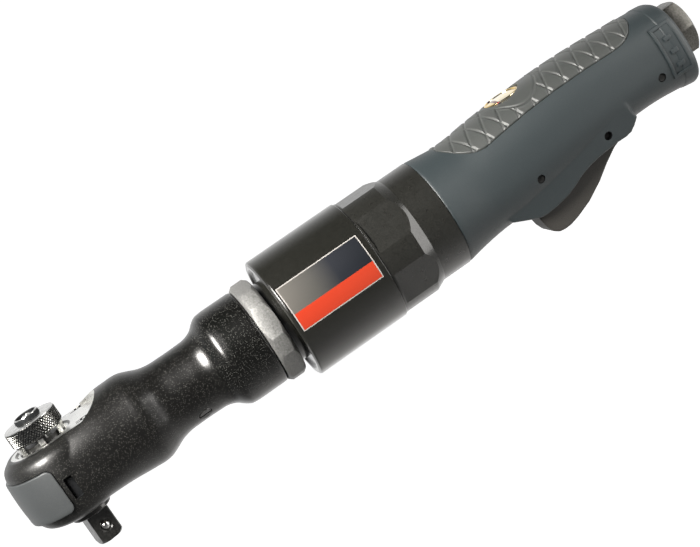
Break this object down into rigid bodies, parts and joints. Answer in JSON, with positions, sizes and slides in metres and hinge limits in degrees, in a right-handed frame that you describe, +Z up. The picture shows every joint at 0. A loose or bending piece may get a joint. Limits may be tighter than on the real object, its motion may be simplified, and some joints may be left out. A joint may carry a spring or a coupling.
{
  "type": "air ratchet",
  "caption": "Pneumatic ratchet wrench: forged head with square drive and knurled direction knob, large black motor barrel, composite handle with throttle lever and threaded air inlet",
  "frame": {"origin": "centre of the shoulder a socket seats against on the square drive", "axes": "+X along the tool axis from the ratchet head to the air inlet, +Z up from the square drive to the direction knob, so the drive and the lever point down"},
  "size_m": [0.3205, 0.0519, 0.0599],
  "materials": {
    "head_black": "dark gloss lacquer over forged steel",
    "composite": "fine satin",
    "composite_pad": "satin, diamond grooves",
    "nose_pad": "satin",
    "lever_black": "matte",
    "barrel_black": "high gloss",
    "housing_black": "satin gloss",
    "label": "printed film",
    "nut_steel": "turned",
    "knob_steel": "knurled, bright",
    "dark_steel": "blackened",
    "steel": "ground",
    "bronze": "sintered",
    "brass": "polished",
    "alloy": "machined",
    "spring_steel": "drawn wire",
    "rubber": "moulded",
    "vane": "laminate",
    "felt": "felt"
  },
  "bodies": {
    "tool_body": {"ratchet_housing": "head_black", "nose_bumper": "nose_pad", "grease_plug": "dark_steel", "top_bush": "bronze", "lower_bush": "bronze", "thrust_washers": "steel", "ring_gear": "steel", "neck_bearing": "bronze", "shaft_seal": "rubber", "clamp_nut": "nut_steel", "coupling_ring": "spring_steel", "barrel": "barrel_black", "barrel_label": "label", "motor_housing": "housing_black", "front_end_plate": "alloy", "front_bearing": "steel", "cylinder_liner": "steel", "rear_end_plate": "alloy", "rear_bearing": "steel", "grip_shell": "composite", "grip_pad": "composite_pad", "handle_pins": "steel", "lever_pin": "steel", "badge": "brass", "valve_bush": "brass", "valve_spring": "spring_steel", "valve_cap": "alloy", "inlet_bushing": "dark_steel", "inlet_screen": "steel", "inlet_seal": "rubber", "muffler": "felt"},
    "rotor": {"rotor": "steel", "vanes": "vane"},
    "crank": {"crankshaft": "steel", "drive_bushing": "bronze", "planet_pins": "steel"},
    "planet_1": {"planet_gear_1": "steel"},
    "planet_2": {"planet_gear_2": "steel"},
    "planet_3": {"planet_gear_3": "steel"},
    "yoke": {"ratchet_yoke": "steel"},
    "anvil": {"anvil": "dark_steel", "pawl_pins": "steel", "castle_nut": "steel", "detent_spring": "spring_steel"},
    "pawl_1": {"pawl_1": "steel"},
    "pawl_2": {"pawl_2": "steel"},
    "ball": {"detent_ball": "knob_steel"},
    "selector": {"selector_knob": "knob_steel", "knob_screw": "steel"},
    "lever": {"lever": "lever_black"},
    "stem": {"throttle_stem": "steel"}
  },
  "joints": [
    {"name": "lever_pivot", "type": "hinge", "parent": "tool_body", "child": "lever", "pos_m": [0.2443, 0, 0.0089], "axis": [0, 1, 0], "range_deg": [0, 7], "stiffness_Nm_per_rad": 5, "springref_deg": -4.01},
    {"name": "throttle_slide", "type": "slide", "parent": "tool_body", "child": "stem", "axis": [0, 0, 1], "range_m": [0, 0.0033], "deforming": ["valve_spring"]},
    {"name": "rotor_spin", "type": "hinge", "parent": "tool_body", "child": "rotor", "pos_m": [0.13, 0, 0.0192], "axis": [1, 0, 0], "continuous": true},
    {"name": "crank_spin", "type": "hinge", "parent": "tool_body", "child": "crank", "pos_m": [0.06, 0, 0.0192], "axis": [1, 0, 0], "continuous": true},
    {"name": "planet_1_spin", "type": "hinge", "parent": "crank", "child": "planet_1", "pos_m": [0.0843, 0, 0.02933], "axis": [1, 0, 0], "continuous": true},
    {"name": "planet_2_spin", "type": "hinge", "parent": "crank", "child": "planet_2", "pos_m": [0.0843, -0.00877, 0.01414], "axis": [1, 0, 0], "continuous": true},
    {"name": "planet_3_spin", "type": "hinge", "parent": "crank", "child": "planet_3", "pos_m": [0.0843, 0.00877, 0.01414], "axis": [1, 0, 0], "continuous": true},
    {"name": "yoke_swing", "type": "hinge", "parent": "tool_body", "child": "yoke", "pos_m": [0, 0, 0.0192], "axis": [0, 0, 1], "range_deg": [-2, 2]},
    {"name": "anvil_turn", "type": "hinge", "parent": "tool_body", "child": "anvil", "pos_m": [0, 0, 0.0192], "axis": [0, 0, 1], "continuous": true},
    {"name": "selector_turn", "type": "hinge", "parent": "anvil", "child": "selector", "pos_m": [0, 0, 0.0392], "axis": [0, 0, 1], "range_deg": [-40, 40]},
    {"name": "pawl_1_rock", "type": "hinge", "parent": "anvil", "child": "pawl_1", "pos_m": [0.0089, 0.00232, 0.0192], "axis": [0, 0, 1], "range_deg": [-4.2, 4.2]},
    {"name": "pawl_2_rock", "type": "hinge", "parent": "anvil", "child": "pawl_2", "pos_m": [-0.0089, -0.00232, 0.0192], "axis": [0, 0, 1], "range_deg": [-4.2, 4.2]},
    {"name": "ball_press", "type": "slide", "parent": "anvil", "child": "ball", "axis": [-0.2521, 0.9677, 0], "range_m": [0, 0.0009], "stiffness_N_per_m": 2000, "springref_m": -0.001}
  ],
  "couplings": [
    {"joint": "throttle_slide", "follows": "lever_pivot", "m_per_rad": 0.0252},
    {"joint": "crank_spin", "follows": "rotor_spin", "ratio": 0.22222},
    {"joint": "planet_1_spin", "follows": "rotor_spin", "ratio": -0.62222},
    {"joint": "planet_2_spin", "follows": "rotor_spin", "ratio": -0.62222},
    {"joint": "planet_3_spin", "follows": "rotor_spin", "ratio": -0.62222},
    {"joint": "pawl_1_rock", "follows": "selector_turn", "ratio": 0.1},
    {"joint": "pawl_2_rock", "follows": "selector_turn", "ratio": 0.1}
  ]
}
